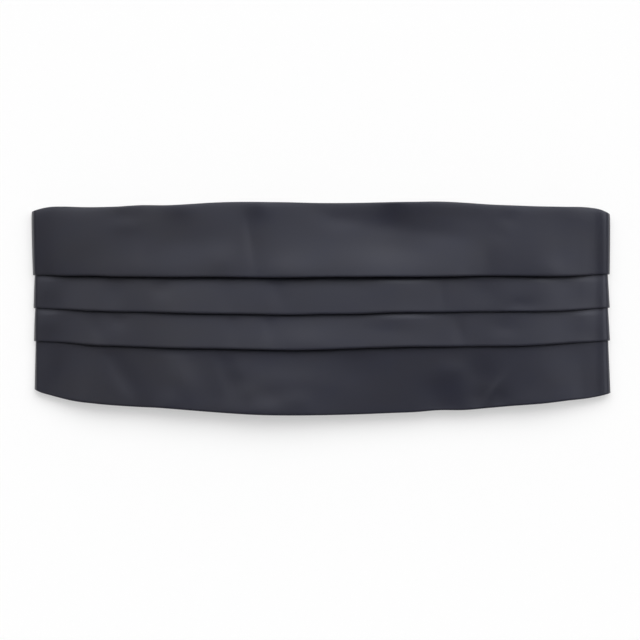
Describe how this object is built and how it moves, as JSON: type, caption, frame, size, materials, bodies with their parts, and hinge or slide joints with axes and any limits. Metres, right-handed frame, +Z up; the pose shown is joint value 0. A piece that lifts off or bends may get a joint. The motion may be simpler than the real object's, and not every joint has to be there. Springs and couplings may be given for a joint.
{
  "type": "cummerbund",
  "caption": "Pleated satin waist sash with downward folds, turned hems and a backing, fastened behind by straps and an adjuster and lying flat on its back.",
  "frame": {"origin": "middle of the footprint, on the surface that the garment lies on", "axes": "+X along the band towards its wearer's left as laid, +Y towards its top edge, +Z up out of the front's good side"},
  "size_m": [0.3486, 0.1284, 0.0138],
  "materials": {
    "satin": "soft satin sheen, very fine weave",
    "backing_cloth": "matt plain weave",
    "strap_tape": "matt ribbed elastic",
    "buckle_metal": "plain nickel"
  },
  "bodies": {
    "root": {"pleat_top": "satin", "pleat_second": "satin", "pleat_third": "satin", "pleat_bottom": "satin", "backing": "backing_cloth", "strap_long": "strap_tape", "strap_short": "strap_tape", "buckle": "buckle_metal"}
  },
  "joints": []
}
